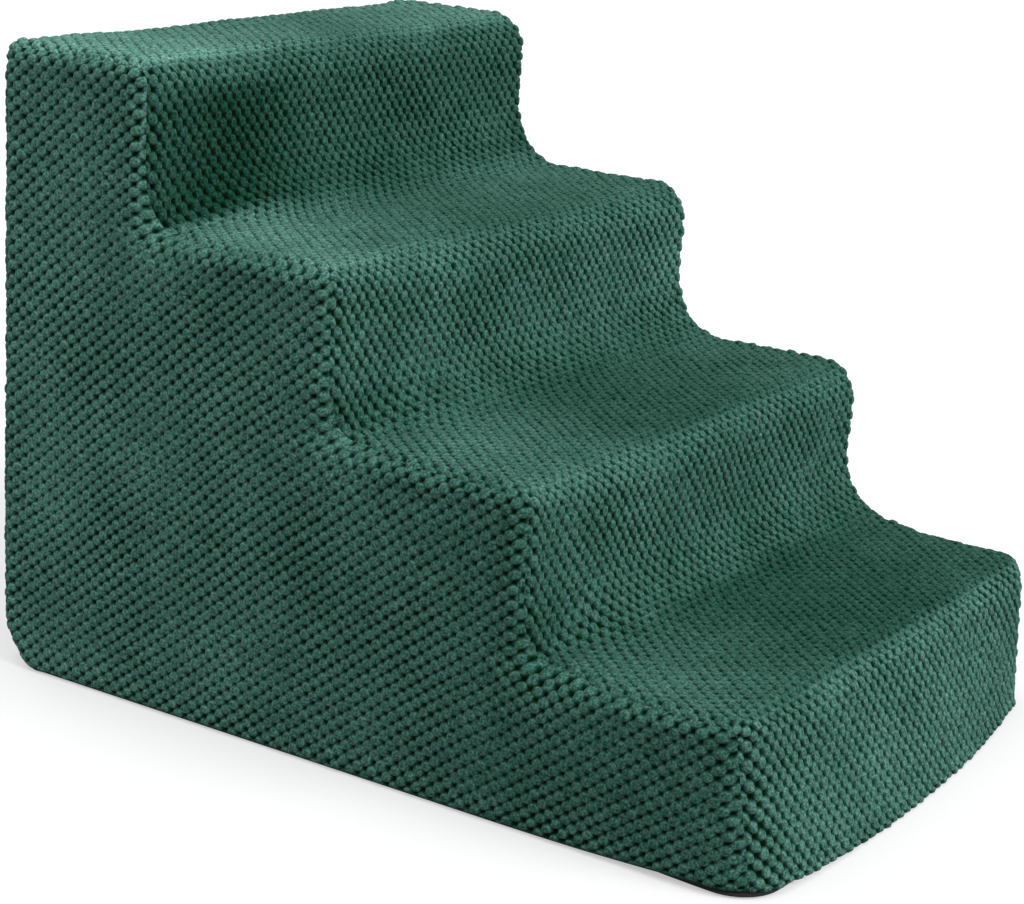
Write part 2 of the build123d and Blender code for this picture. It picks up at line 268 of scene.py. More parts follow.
def sheetPoint(across, length):
    # the cover without its balls, at a place on the fabric
    side = np.where(across < 0, -1.0, 1.0)
    radius, angle = turnOn(across, length)
    flat = halfWidth - radius
    edge = flat + radius * angle
    turn = np.clip((np.abs(across) - flat) / radius, 0, angle)
    x = side * np.where(turn > 0, flat + radius * np.sin(turn), np.abs(across))
    drop = radius * (1 - np.cos(turn))
    share = smooth((edge - np.abs(across)) / rounding["blendWidth"])
    feet = (side > 0) & (length < topBackMark - 60)
    share = np.where(feet, rounding["farShare"] + (1 - rounding["farShare"]) * share, share)
    y, z = outlinePoint(length, share)
    y2, z2 = outlinePoint(length + 0.5, share)
    ty, tz = y2 - y, z2 - z
    ny, nz = -tz, np.maximum(ty, 0)
    ny = np.where(length < hemMark + 1, -1.0, np.where(length > backFootMark - 1, 1.0, ny))
    size = np.maximum(np.hypot(ny, nz), 1e-9)
    y = y - ny / size * drop
    z = z - nz / size * drop
    bow = np.clip((treadZ[0] - z) / treadZ[0], 0, 1) * (length < footMarks[0])
    y = y + bowAt(x) * bow
    x = x + sideTurn["farSwell"] * smooth(1 - (edge - across) / sideTurn["farSwellWidth"]) * (across > 0)
    return np.stack([x, y, z], -1)


def cornerShare(points):
    # 1 at the near front corner, falling to 0 away from it
    cornerX, cornerY = stairs["nearCorner"]
    return bell(np.hypot(points[..., 0] - cornerX, points[..., 1] - cornerY), 0, stairs["hemLiftReach"])


def liftHem(points):
    # the hem stands off the floor at the near front corner and shows the base
    low = np.clip(1 - points[..., 2] / stairs["hemLiftHeight"], 0, 1) ** 1.5
    points[..., 2] += stairs["hemLift"] * cornerShare(points) * low
    points[..., 2] = np.maximum(points[..., 2], 0.4)
    return points


def edgeOf(length, side):
    radius, angle = turnAt(length, side)
    return halfWidth - radius + radius * angle


def seamGap(across, length):
    # how far in from the side seam, on the fabric
    radius, angle = turnOn(across, length)
    return halfWidth - radius + radius * angle - np.abs(across)


def gridNormals(points):
    rows, columns = np.gradient(points, axis=0), np.gradient(points, axis=1)
    return unit(np.cross(columns, rows))


def meshNormals(points, faces):
    corner = points[faces]
    face = np.cross(corner[:, 2] - corner[:, 0], corner[:, 3] - corner[:, 1])
    normal = np.zeros_like(points)
    for k in range(4):
        for c in range(3):
            normal[:, c] += np.bincount(faces[:, k], face[:, c], len(points))
    return unit(normal)


def addObject(name, data):
    piece = bpy.data.objects.new(name, data)
    bpy.context.scene.collection.objects.link(piece)
    return piece


def addLayer(mesh, name, kind, key, values):
    mesh.attributes.new(name, kind, "POINT").data.foreach_set(key, values.astype(np.float32).ravel())


def makePiece(name, points, faces, grid=None, tone=None):
    # an object from arrays in mm, where grid is the balls' own coordinates and tone the painted light and shade on the
    # pile
    mesh = bpy.data.meshes.new(name)
    mesh.vertices.add(len(points))
    mesh.vertices.foreach_set("co", (points * mm).astype(np.float32).ravel())
    faces = np.asarray(faces, np.int32)
    mesh.loops.add(faces.size)
    mesh.loops.foreach_set("vertex_index", faces.ravel())
    mesh.polygons.add(len(faces))
    mesh.polygons.foreach_set("loop_start", np.arange(0, faces.size, faces.shape[1], dtype=np.int32))
    mesh.polygons.foreach_set("use_smooth", np.ones(len(faces), bool))
    mesh.update(calc_edges=True)
    mesh.validate()
    if grid is not None:
        addLayer(mesh, "pileGrid", "FLOAT_VECTOR", "vector", grid[..., :3])
        addLayer(mesh, "pileJoin", "FLOAT", "value", grid[..., 3])
        # painted light and shade: a lightness level for each point
        addLayer(mesh, "pilePaintedLight", "FLOAT", "value", np.ones(len(points)) if tone is None else tone)
    return addObject(name, mesh)


def gridFaces(rows, columns, closed=False):
    # quads between rows of points, which are rings if closed
    first, c = np.meshgrid(np.arange(rows - 1) * columns, np.arange(columns - (not closed)), indexing="ij")
    d = (c + 1) % columns
    return np.stack([first + c, first + d, first + columns + d, first + columns + c], -1).reshape(-1, 4)


def plushSurface(points, normals, across, along, periods, ballShare, join, edge, seed, pullShare=1.0):
    # balls and drawn-in edges on a smooth surface, and the grid place that the material reads

    def wave(shift, wavelength, count=9):
        return waves(seed + shift, across, along, wavelength, count)

    short, long = plush["wanderLength"], 10 * plush["wanderLength"]
    weft = (across + plush["sway"] * wave(0, long) + plush["wander"] * wave(3, short)) / periods[0]
    warp = (along + plush["sway"] * wave(1, long) + plush["wander"] * wave(4, short)) / periods[1]
    near = bell(edge, plush["seamFluffAt"], plush["seamFluffWidth"])
    share = ballShare + plush["ballDrift"] * wave(5, plush["driftLength"]) - plush["seamBall"] * near
    share = share + plush["sizeSpread"] * wave(6, plush["sizeLength"])
    height = pileRelief(weft, warp, share, join, seed)
    rise = smooth((edge - plush["riseFrom"]) / plush["riseReach"])
    pull = pullShare * plush["seamPull"] * bell(edge, 0, plush["seamPullWidth"])
    swell = plush["swell"] * wave(2, plush["swellLength"]) * smooth(edge / plush["swellReach"])
    swell = swell + plush["tuft"] * wave(8, plush["tuftLength"], 14) * rise
    balls = ((height - plush["meanHeight"]) + plush["seamFluff"] * near * height) * plush["ballHeight"]
    amount = balls * rise - pull + swell
    return liftHem(points + normals * amount[..., None]), np.stack([weft, warp, share, join + 0 * weft], -1)


# fabric length with the risers stretched a little
lengthScale = np.linspace(0, seamLength[-1], 4000)
riserShare = np.zeros_like(lengthScale)
for k in range(4):
    low = hemMark if k == 0 else footMarks[k - 1]
    riserShare += smooth((lengthScale - low) / 12) * smooth((noseMarks[k] - lengthScale) / 12)
fabricScale = np.concatenate([[0], np.cumsum((1 - 0.07 * riserShare)[1:] * np.diff(lengthScale))])


def sheetGrid(lengthStart, lengthEnd, rowStep, columnStep):
    # rows, steady columns across the middle, and columns that close up to the seams
    start, end = np.interp([lengthStart, lengthEnd], lengthScale, fabricScale)
    inner = np.arange(math.ceil(start / rowStep + 0.2), math.floor(end / rowStep - 0.2) + 1) * rowStep
    rows = np.concatenate([[start], inner, [end]])
    length = np.interp(rows, fabricScale, lengthScale)
    count = int(plush["steadyHalf"] / columnStep)
    middle = np.arange(-count, count + 1) * columnStep
    outer = int(round((edgeOf(np.array([plush["countedAt"]]), 1)[0] - count * columnStep) / columnStep))
    shares = np.arange(1, outer + 1) / outer
    near, far = (side * (middle[-1] + (edgeOf(length, side)[:, None] - middle[-1]) * shares[None]) for side in (-1, 1))
    across = np.concatenate([near[:, ::-1], np.repeat(middle[None], len(rows), 0), far], 1)
    return [across] + [np.repeat(values[:, None], across.shape[1], 1) for values in (length, rows)]


# painted light and shade on the pile: a level for each tread and riser, and patches on them
paintedLight = {
    # painted light: the higher treads lighter, a level of light for each riser
    "treads": [0.74, 0.88, 1.12, 1.6], "risers": [1.34, 1.11, 1.15, 0.89],
    "near": (-175, 85), "far": (175, 90), "middle": (15, 95), "inset": (-122, 62),  # place across, and width
    # painted shade across the treads' middle and far ends, painted light at their near ends
    "treadMiddle": -0.33, "treadNear": 0.30, "treadFar": -0.07,
    # painted shade on the top riser's near part, painted light on the third riser's far part
    "topRiserInset": -0.5, "thirdRiserFar": 0.3, "thirdRiser": (-40, 50),
    # painted shade in the feet, painted highlight on the noses' near ends, painted shade on their far ends
    "foot": -0.2, "footWidth": 22, "noseNear": 0.18, "noseFar": -0.04, "noseWidth": 15,
    "levelAt": 45,  # from the nose to where a level holds
    # painted light on the side panels, lighter towards the back, and painted shade on the hem band under the foam
    "side": 1.19, "sidePerMm": 0.0011, "hem": 0.5,
}


def stripPaintedLight(across, length, upright):
    # painted light and shade over the steps
    treads = np.interp(length, noseMarks + paintedLight["levelAt"], paintedLight["treads"])
    risers = np.interp(length, noseMarks - paintedLight["levelAt"], paintedLight["risers"])
    near, far, middle, inset = (bell(across, *paintedLight[part]) for part in ("near", "far", "middle", "inset"))
    treads = treads * (1 + paintedLight["treadMiddle"] * middle + paintedLight["treadNear"] * near + paintedLight["treadFar"] * far)
    top = smooth((length - footMarks[2] + 25) / 30) * smooth((noseMarks[3] - 6 - length) / 20)
    third = bell(length - noseMarks[2], *paintedLight["thirdRiser"])
    risers = risers * (1 + paintedLight["topRiserInset"] * top * inset + paintedLight["thirdRiserFar"] * third * far)
    tone = treads * (1 - upright) + risers * upright
    # painted shade in the feet, where a riser meets a tread
    for mark in footMarks:
        tone = tone * (1 + paintedLight["foot"] * bell(length, mark, paintedLight["footWidth"]))
    # painted highlight on the noses' near ends, painted shade on their far ends
    for mark in noseMarks[1:]:
        nose = (paintedLight["noseNear"] * near + paintedLight["noseFar"] * far) * bell(length, mark, paintedLight["noseWidth"])
        tone = tone * (1 + nose)
    return tone


def buildStrip():
    start, end = hemMark - stairs["hemTuck"], topBackMark + stairs["backSeam"]
    periods = (plush["acrossGrain"], plush["alongGrain"])
    across, length, fabric = sheetGrid(start, end, periods[1] / plush["cells"], periods[0] / plush["cells"])
    points = sheetPoint(across, length)
    normals = gridNormals(points)
    edge = np.minimum(seamGap(across, length), np.minimum(length - start, end - length))
    upright = smooth((np.abs(normals[..., 1]) - 0.35) / 0.4)
    share = plush["treadBall"] * (1 - upright) + plush["riserBall"] * upright
    # the rows run along one diagonal on the risers and the other on the treads
    join = plush["rowJoin"] * (2 * upright - 1)
    pull = np.where(across > 0, plush["farPull"], 1.0)
    points, grid = plushSurface(points, normals, across, fabric, periods, share, join, edge, plush["seed"], pull)
    rows, columns = across.shape
    # painted light and shade over the strip
    tone = stripPaintedLight(across, length, upright)
    print("strip", rows, columns)
    return makePiece("coverStrip", points.reshape(-1, 3), gridFaces(rows, columns), grid, tone)


coverStrip = buildStrip()


def clippedGrid(a, b, distance):
    # a grid's cells inside a region, with the outer corners moved onto its edge
    d = distance(a, b)
    rows, columns = a.shape
    inside = d > 0
    cell = inside[:-1, :-1] | inside[1:, :-1] | inside[:-1, 1:] | inside[1:, 1:]
    used = np.zeros_like(inside)
    for r, c in ((0, 0), (1, 0), (0, 1), (1, 1)):
        used[r:rows - 1 + r, c:columns - 1 + c] |= cell
    out = used & ~inside
    step = 0.2
    for _ in range(3):
        da = (distance(a[out] + step, b[out]) - distance(a[out] - step, b[out])) / (2 * step)
        db = (distance(a[out], b[out] + step) - distance(a[out], b[out] - step)) / (2 * step)
        now = distance(a[out], b[out])
        size = np.maximum(da ** 2 + db ** 2, 0.2)
        a[out] -= now * da / size
        b[out] -= now * db / size
    index = -np.ones(a.shape, int)
    index[used] = np.arange(used.sum())
    r, c = np.nonzero(cell)
    faces = np.stack([index[r, c], index[r, c + 1], index[r + 1, c + 1], index[r + 1, c]], 1)
    return a[used], b[used], faces


# the side seam, point by point along the outline, for each side
seamAlong = np.arange(hemMark - 4.5, backFootMark + rounding["backFootSeam"] * 0.78, 0.5)


def turnOff(depth, radius):
    # how far a round turn falls in at a depth from its edge
    short = np.clip(radius - depth, 0, radius)
    return radius - np.sqrt(np.maximum(radius ** 2 - short ** 2, 0))


def sideInset(y, z, side):
    # how far the side panel falls in
    foot = sideTurn["nearFoot" if side < 0 else "farFoot"][0]
    plain = sideTurn["plain" if side < 0 else "plainFar"][0]
    curve = rounding["footSeam"]
    if side > 0:
        curve += (rounding["footMiddle"] - curve) * rounding["farShare"]
    terms = []
    for footY, footZ in zip(noseY[1:], treadZ):
        depth = np.hypot(np.maximum(y - footY + curve, 0), np.maximum(footZ + curve - z, 0)) - curve
        weight = footWeight(np.where(y < footY, y - footY, np.maximum(z - footZ, 0)))
        terms.append(turnOff(np.maximum(depth, 0), plain + (foot - plain) * weight))
    lean = stairs["frontLean"] - bowAt(side * halfWidth)
    front = noseY[0] - lean * (1 - z / treadZ[0])
    terms.append(turnOff(y - front, sideTurn["firstRiser"][0]))
    terms.append(turnOff(treadZ[3] - z, plain))
    corner = rounding["backFootSeam"]
    cornerY, cornerZ = stairs["backY"] - corner, stairs["hemZ"] + corner
    inCorner = (y > cornerY) & (z < cornerZ)
    back = np.where(inCorner, corner - np.hypot(y - cornerY, z - cornerZ), stairs["backY"] - y)
    floor = np.where(inCorner, 99.0, z - stairs["hemZ"])
    angle = np.arctan2(np.maximum(y - cornerY, 0), np.maximum(cornerZ - z, 1e-6))
    low = (math.pi / 4 - angle) * corner
    heel = np.where(z < cornerZ, blend(low, "heelBlend"), 0.0)
    terms.append(turnOff(back, sideTurn["back"][0] * (1 - heel) + sideTurn["heel"][0] * heel))
    terms.append(turnOff(floor, stairs["hemRadius"]))
    return np.sqrt(sum(term ** 2 for term in terms))


def nearestOn(line, points):
    # index of the nearest point of a dense line, for many points
    found = np.zeros(len(points), int)
    for start in range(0, len(points), 4000):
        part = points[start:start + 4000, None]
        found[start:start + 4000] = ((part - line[None]) ** 2).sum(2).argmin(1)
    return found


def insideLoop(points, loop):
    # by counting crossings
    following = np.roll(loop, -1, 0)
    (y0, z0), (y1, z1) = loop.T, following.T
    slope = (y1 - y0) / np.where(z1 == z0, 1e-9, z1 - z0)
    found = np.zeros(len(points), bool)
    for start in range(0, len(points), 8000):
        y, z = points[start:start + 8000, 0, None], points[start:start + 8000, 1, None]
        crossed = ((z0 > z) != (z1 > z)) & (y < y0 + (z - z0) * slope)
        found[start:start + 8000] = crossed.sum(1) % 2 == 1
    return found


def closedLoop(side):
    # the side panel's edge in y and z: the seam, then back along the hem
    seam = sheetPoint(side * edgeOf(seamAlong, side), seamAlong)
    hem = stairs["hemZ"] + 0.15
    seam = seam[seam[:, 2] >= hem - 0.01]
    bottom = np.arange(seam[-1, 1] - 0.5, seam[0, 1], -0.5)
    inset = sideInset(bottom, np.full_like(bottom, hem), side)
    floor = np.stack([side * (halfWidth - inset), bottom, np.full_like(bottom, hem)], 1)
    return np.concatenate([seam, floor])


def buildSide(side, name, seed):
    loop = closedLoop(side)
    flatLoop = loop[:, 1:]
    tangent = np.roll(flatLoop, -2, 0) - np.roll(flatLoop, 2, 0)
    inward = unit(np.stack([tangent[:, 1], -tangent[:, 0]], 1))
    excess = (halfWidth - np.abs(loop[:, 0])) - sideInset(flatLoop[:, 0], flatLoop[:, 1], side)
    turn = math.radians(plush["grainTurn"])

    def toFlat(a, b):
        return a * math.cos(turn) - b * math.sin(turn), a * math.sin(turn) + b * math.cos(turn)

    def distance(a, b):
        # positive inside: to every eighth point of the loop, then to the points around the nearest
        p = np.stack([part.ravel() for part in toFlat(a, b)], 1)
        near = nearestOn(flatLoop[::8], p) * 8
        rough = np.linalg.norm(p - flatLoop[near], axis=1)
        found = np.where(insideLoop(p, flatLoop[::4]), rough, -rough)
        fine = rough < 14
        if fine.any():
            window = (near[fine][:, None] + np.arange(-9, 10)[None]) % len(flatLoop)
            d = np.linalg.norm(p[fine][:, None] - flatLoop[window], axis=2)
            best = np.take_along_axis(window, d.argmin(1)[:, None], 1)[:, 0]
            straight = ((p[fine] - flatLoop[best]) * inward[best]).sum(1)
            found[fine] = np.where(d.min(1) < 2.5, straight, np.sign(found[fine]) * d.min(1))
        return found.reshape(a.shape)

    periods = (plush["sideAlong"], plush["acrossGrain"])
    stepA, stepB = (period / plush["cells"] for period in periods)
    a, b = np.meshgrid(np.arange(-300, 330, stepA), np.arange(-30, 430, stepB), indexing="xy")
    a, b, faces = clippedGrid(a, b, distance)
    y, z = toFlat(a, b)
    p = np.stack([y, z], 1)
    near = nearestOn(flatLoop[::2], p) * 2
    gap = np.linalg.norm(p - flatLoop[near], axis=1)
    inset = sideInset(y, z, side) + excess[near] * bell(gap, 0, 7.0)
    points = np.stack([side * (halfWidth - inset), y, z], 1)
    if side < 0:
        faces = faces[:, ::-1]
    normals = meshNormals(points, faces)
    pull = 1.0 if side < 0 else plush["farPull"]
    points, grid = plushSurface(points, normals, a, b, periods, plush["sideBall"], plush["rowJoin"], gap, seed, pull)
    # painted light on the side panel, lighter towards the back
    tone = paintedLight["side"] + paintedLight["sidePerMm"] * y
    # the lower edge turned in under the foam, without balls
    floor = loop[loop[:, 2] < stairs["hemZ"] + 0.2][::2]
    rows = [np.stack([floor[:, 0] - side * reach, floor[:, 1], np.full(len(floor), high)], 1)
            for reach, high in stairs["hemBand"]]
    band = liftHem(np.concatenate(rows))
    bandFaces = gridFaces(len(rows), len(floor)) + len(points)
    faces = np.concatenate([faces, bandFaces[:, ::-1] if side < 0 else bandFaces])
    bandGrid = np.concatenate([band[:, :2] / 9, np.full((len(band), 1), 1.3), np.zeros((len(band), 1))], 1)
    # painted shade on the hem band turned in under the foam
    tone = np.concatenate([tone, np.full(len(band), paintedLight["hem"])])
    print(name, len(points), len(faces))
    return makePiece(name, np.concatenate([points, band]), faces, np.concatenate([grid, bandGrid]), tone)


coverLeft = buildSide(-1, "coverLeft", 21)
coverRight = buildSide(1, "coverRight", 33)


# back of the cover: a flap inside the zip's course and a border around it
zipCourse = {
    "half": 174.0, "floor": 30.0, "radius": 30.0, "top": 348.0, "channelTop": 358.6,
    "channelHalf": 6.2, "edgeRadius": 4.0, "edgeDrop": 3.6, "tapeY": 273.8,
    "hemSeam": 30.0, "hemMiddle": 8.5,
}


def tongue(x, z):
    # distance inside the zip's course, positive inside
    r = zipCourse["radius"]
    qx = np.abs(x) - (zipCourse["half"] - r)
    qz = (zipCourse["floor"] + r) - z
    outside = np.hypot(np.maximum(qx, 0), np.maximum(qz, 0))
    return r - outside - np.minimum(np.maximum(qx, qz), 0)


def hemReach(a, b):
    # how far the border runs on past the heel's middle
    share = smooth(seamGap(a, b) / rounding["blendWidth"])
    return zipCourse["hemSeam"] * (1 - share) + zipCourse["hemMiddle"] * share


def buildBack(name, inner, seed):
    start = topBackMark + stairs["backSeam"]
    periods = (plush["acrossGrain"], plush["alongGrain"])
    stepA, stepB = (period / plush["cells"] for period in periods)
    a, b = np.meshgrid(np.arange(-205, 206, stepA), np.arange(start - 5, backFootMark + 34, stepB), indexing="xy")

    def regions(a, b):
        p = sheetPoint(np.clip(a, -edgeOf(b, -1), edgeOf(b, 1)), b)
        room = zipCourse["channelHalf"] * smooth((zipCourse["channelTop"] - p[..., 2]) / 3.0)
        zipEdge = tongue(p[..., 0], p[..., 2]) * (1 if inner else -1) - room
        seamEdge = np.minimum(b - start, seamGap(a, b))
        hemEdge = backFootMark + hemReach(a, b) - b
        return zipEdge, seamEdge, hemEdge, room

    def distance(a, b):
        return np.minimum.reduce(regions(a, b)[:3])

    a, b, faces = clippedGrid(a, b, distance)
    b = np.minimum(b, backFootMark + hemReach(a, b))
    a = np.clip(a, -edgeOf(b, -1), edgeOf(b, 1))
    zipEdge, seamEdge, hemEdge, room = regions(a, b)
    points = sheetPoint(a, b)
    opened = room / zipCourse["channelHalf"]
    points[:, 1] -= zipCourse["edgeDrop"] * turnOff(zipEdge, zipCourse["edgeRadius"]) / zipCourse["edgeRadius"] * opened
    normals = meshNormals(points, faces)
    edge = np.minimum(np.minimum(zipEdge, seamEdge), np.maximum(hemEdge, 0))
    edge = np.where((opened > 0.5) & (zipEdge < 6), zipEdge + 1.2, edge)
    share, join = plush["sideBall"], plush["rowJoin"]
    points, grid = plushSurface(points, normals, a, b, periods, share, join, edge, seed, plush["backPull"])
    print(name, len(points), len(faces))
    return makePiece(name, points, faces, grid)


coverFlap = buildBack("coverFlap", True, 45)
coverBorder = buildBack("coverBorder", False, 57)


# nylon coils of the zip: one wound wire along each side of the course
coil = {"pitch": 1.6, "wire": 0.38, "reach": 1.85, "rise": 0.85, "centre": 1.3, "middleY": 275.15,
        "sides": 5, "steps": 10}


def coursePoints(offset, step):
    # the zip's course from the slider's end to the other, moved outwards by offset
    half, radius = zipCourse["half"] + offset, zipCourse["radius"] + offset
    corner = zipCourse["half"] - zipCourse["radius"]
    cz = zipCourse["floor"] + zipCourse["radius"]
    angles = np.linspace(0, math.pi / 2, 60)
    right = np.stack([corner + radius * np.cos(angles), cz - radius * np.sin(angles)], 1)
    left = np.stack([-corner - radius * np.sin(angles), cz - radius * np.cos(angles)], 1)
    path = np.concatenate([[[half, zipCourse["top"]]], right, left, [[-half, zipCourse["top"]]]])
    at = np.arange(0, pathLength(path)[-1], step)
    return spaced(path, at), at


def buildCoil(name, side):
    step = coil["pitch"] / coil["steps"]
    course, at = coursePoints(side * coil["centre"], step)
    tangent = unit(np.gradient(course, axis=0))
    outward = np.stack([tangent[:, 1], -tangent[:, 0]], 1)
    angle = at / coil["pitch"] * 2 * math.pi * side + (math.pi if side > 0 else 0)
    flat = course + outward * (np.cos(angle) * coil["reach"])[:, None]
    line = np.stack([flat[:, 0], coil["middleY"] + np.sin(angle) * coil["rise"], flat[:, 1]], 1)
    along = unit(np.gradient(line, axis=0))
    first = unit(np.cross(along, np.array([0, 1.0, 0])))
    second = np.cross(along, first)
    sides = coil["sides"]
    turns = np.linspace(0, 2 * math.pi, sides, endpoint=False)[None, :, None]
    ring = line[:, None] + coil["wire"] * (np.cos(turns) * first[:, None] + np.sin(turns) * second[:, None])
    return makePiece(name, ring.reshape(-1, 3), gridFaces(len(line), sides, True)[:, ::-1])


coilInner, coilOuter = buildCoil("coilInner", -1), buildCoil("coilOuter", 1)
print("coils")


# non-slip base fabric with its turned-up rim and grip dots
base = {
    "tuck": 7.0,  # how far the rim stays in under the hem, less near the near front corner
    "cornerRadius": 31.0, "backCorner": 74.0, "bowRadii": [400, 700, 400], "floorZ": 0.55, "thickness": 3.5,
    # rings from the underside round the rim to the top face: how far in, and how high
    "rings": [(20.0, 0.0), (6.0, 0.0), (3.0, 0.5), (1.9, 1.5), (2.2, 2.8), (3.8, 3.4), (9.0, 3.5), (20.0, 3.5)],
    "rimPoints": 480,
}


def footprint(inset, count):
    # the base fabric's outline, this far inside the cover's
    half, back = halfWidth - inset, stairs["backY"] - inset
    front = noseY[0] - stairs["frontLean"] + inset
    rim = [(x, front + bowAt(x)) for x in (-half, -half * 0.5, 0.0, half * 0.5, half)]
    corners = [(-half, 0.0)] + rim + [(half, back), (-half, back), (-half, 0.0)]
    front, back = base["cornerRadius"] - inset, base["backCorner"] - inset
    path, _ = cornerPath(corners, [front, *base["bowRadii"], front, back, back])
    return spaced(path, np.linspace(0, pathLength(path)[-1], count, endpoint=False))


def baseRim(inset, count):
    # the rim stays in under the hem, and comes out to it at the near front corner
    outer, inner = footprint(inset, count), footprint(inset + base["tuck"], count)
    share = cornerShare(outer)[:, None]
    return inner * (1 - share) + outer * share


def plainPiece(name, points, faces):
    mesh = bpy.data.meshes.new(name)
    mesh.from_pydata((points * mm).tolist(), [], faces)
    return addObject(name, mesh)


def buildBase():
    rings, count, low = base["rings"], base["rimPoints"], base["floorZ"]
    loops = [np.concatenate([baseRim(inset, count), np.full((count, 1), low + rise)], 1) for inset, rise in rings]
    points = np.concatenate(loops + [np.array([[0, 0, low], [0, 0, low + base["thickness"]]])])
    i = np.arange(count)
    j = (i + 1) % count
    faces = gridFaces(len(rings), count, True).tolist()
    last, centre = (len(rings) - 1) * count, len(rings) * count
    faces += np.stack([np.full(count, centre), j, i], 1).tolist()
    faces += np.stack([np.full(count, centre + 1), last + i, last + j], 1).tolist()
    piece = plainPiece("basePanel", points, faces)
    bpy.ops.object.select_all(action="DESELECT")
    piece.select_set(True)
    bpy.context.view_layer.objects.active = piece
    bpy.ops.object.mode_set(mode="EDIT")
    bpy.ops.mesh.select_all(action="SELECT")
    bpy.ops.mesh.normals_make_consistent(inside=False)
    bpy.ops.object.mode_set(mode="OBJECT")
    bpy.ops.object.shade_smooth_by_angle(angle=math.radians(40))
    return piece


basePanel = buildBase()
print("base")


def stamp(name, places, shape, shapeFaces, turns=None):
    # one shape at many places
    points = np.repeat(shape[None], len(places), 0)
    if turns is not None:
        points = np.einsum("nij,nkj->nki", turns, points)
    faces = [[v + n * len(shape) for v in face] for n in range(len(places)) for face in shapeFaces]
    piece = plainPiece(name, (points + places[:, None]).reshape(-1, 3), faces)
    piece.data.polygons.foreach_set("use_smooth", np.ones(len(faces), bool))
    return piece


# rubber grip dots under the base fabric, inside a rounded outline
dots = {"spacing": 7.0, "radius": 1.25, "tipShare": 0.62, "height": 0.5, "halfX": 188, "frontY": -264, "backY": 266,
        "frontCorner": 34, "backCorner": 78}


def buildDots():
    turns = np.arange(6) * math.pi / 3
    wide, narrow, foot = dots["radius"], dots["radius"] * dots["tipShare"], base["floorZ"]
    rings = [np.stack([r * np.cos(turns), r * np.sin(turns), np.full(6, z)], 1)
             for r, z in ((wide, foot + 0.05), (narrow, foot - 0.36))]
    shape = np.concatenate(rings + [[[0, 0, foot - dots["height"]]]])
    faces = gridFaces(2, 6, True)[:, ::-1].tolist() + [(6 + n, 12, 6 + (n + 1) % 6) for n in range(6)]
    places = []
    for row, y in enumerate(np.arange(dots["frontY"] + 2, dots["backY"] - 1, dots["spacing"] * 0.866)):
        for x in np.arange(3 - dots["halfX"], dots["halfX"] - 2, dots["spacing"]):
            x = x + (row % 2) * dots["spacing"] / 2
            corner = dots["frontCorner" if y < 0 else "backCorner"]
            dx = max(abs(x) - (dots["halfX"] - corner), 0)
            dy = max(y - (dots["backY"] - corner), dots["frontY"] + corner - y, 0)
            if abs(x) < dots["halfX"] - 1 and math.hypot(dx, dy) < corner - 2:
                places.append((x, y, 0.0))
    print("grip dots", len(places))
    return stamp("gripDots", np.array(places), shape, faces)


gripDots = buildDots()

# sewing thread: a row of stitches on each tape beside the plush, and a bar tack at each closed end
stitch = {"pitch": 3.7, "length": 2.9, "width": 0.55, "offset": 5.2, "height": 0.34, "tackPitch": 0.5, "tackHalf": 1.3,
          # along the stitch, its width there and how far it stands up
          "rings": [(-0.5, 0.15, -0.25), (-0.36, 0.8, 0.1), (0.0, 1.0, 0.35), (0.36, 0.8, 0.1), (0.5, 0.15, -0.25)]}


def buildStitches():
    shape = []
    for along, share, lift in stitch["rings"]:
        for turn in np.arange(6) * math.pi / 3:
            across = math.cos(turn) * share * stitch["width"] / 2
            shape.append((along * stitch["length"], across, (math.sin(turn) * share + lift) * stitch["height"]))
    faces = gridFaces(5, 6, True).tolist() + [range(5, -1, -1), range(24, 30)]
    places, turns = [], []
    for side in (-1, 1):
        course, _ = coursePoints(side * stitch["offset"], stitch["pitch"])
        along = unit(np.gradient(course, axis=0))
        for (x, z), (tx, tz) in zip(course, along):
            places.append((x, zipCourse["tapeY"] + 0.12, z))
            turns.append([[tx, -tz, 0], [0, 0, 1], [tz, tx, 0]])
    for x in (-zipCourse["half"], zipCourse["half"]):
        for z in np.arange(zipCourse["top"] + 1.2, zipCourse["channelTop"] - 0.6, stitch["tackPitch"]):
            for shift in (-stitch["tackHalf"], stitch["tackHalf"]):
                places.append((x + shift, zipCourse["tapeY"] + 0.2, z))
                turns.append([[1, 0, 0], [0, 0, 1], [0, 1, 0]])
    return stamp("zipStitches", np.array(places), np.array(shape), faces, np.array(turns))


zipStitches = buildStitches()
print("stitches")


# the photo's camera, its place in mm and its angles in radians
cameraView = {
    "place": (-1331.892, -828.170, 613.044),
    "azimuth": -1.0022, "elevation": 0.2846, "roll": 0.0595, "lens": 90.42, "sensor": 36,
}


def addCamera():
    azimuth, elevation, roll = (cameraView[key] for key in ("azimuth", "elevation", "roll"))
    level = math.cos(elevation)
    ahead = Vector((-math.sin(azimuth) * level, math.cos(azimuth) * level, -math.sin(elevation)))
    right = Vector((math.cos(azimuth), math.sin(azimuth), 0))
    upward = right.cross(ahead)
    right, upward = right * math.cos(roll) + upward * math.sin(roll), upward * math.cos(roll) - right * math.sin(roll)
    data = bpy.data.cameras.new("photoCamera")
    data.lens = cameraView["lens"]
    data.sensor_width = cameraView["sensor"]
    data.clip_start, data.clip_end = 0.05, 50
    camera = addObject("photoCamera", data)
    turn = Matrix((right, upward, -ahead)).transposed().to_4x4()
    camera.matrix_world = Matrix.Translation(Vector(cameraView["place"]) * mm) @ turn
    bpy.context.scene.camera = camera


addCamera()


def linear(code):
    # sRGB hex to the linear colour that nodes use
    values = [int(code[n:n + 2], 16) / 255 for n in (1, 3, 5)]
    return tuple(v / 12.92 if v <= 0.04045 else ((v + 0.055) / 1.055) ** 2.4 for v in values) + (1.0,)


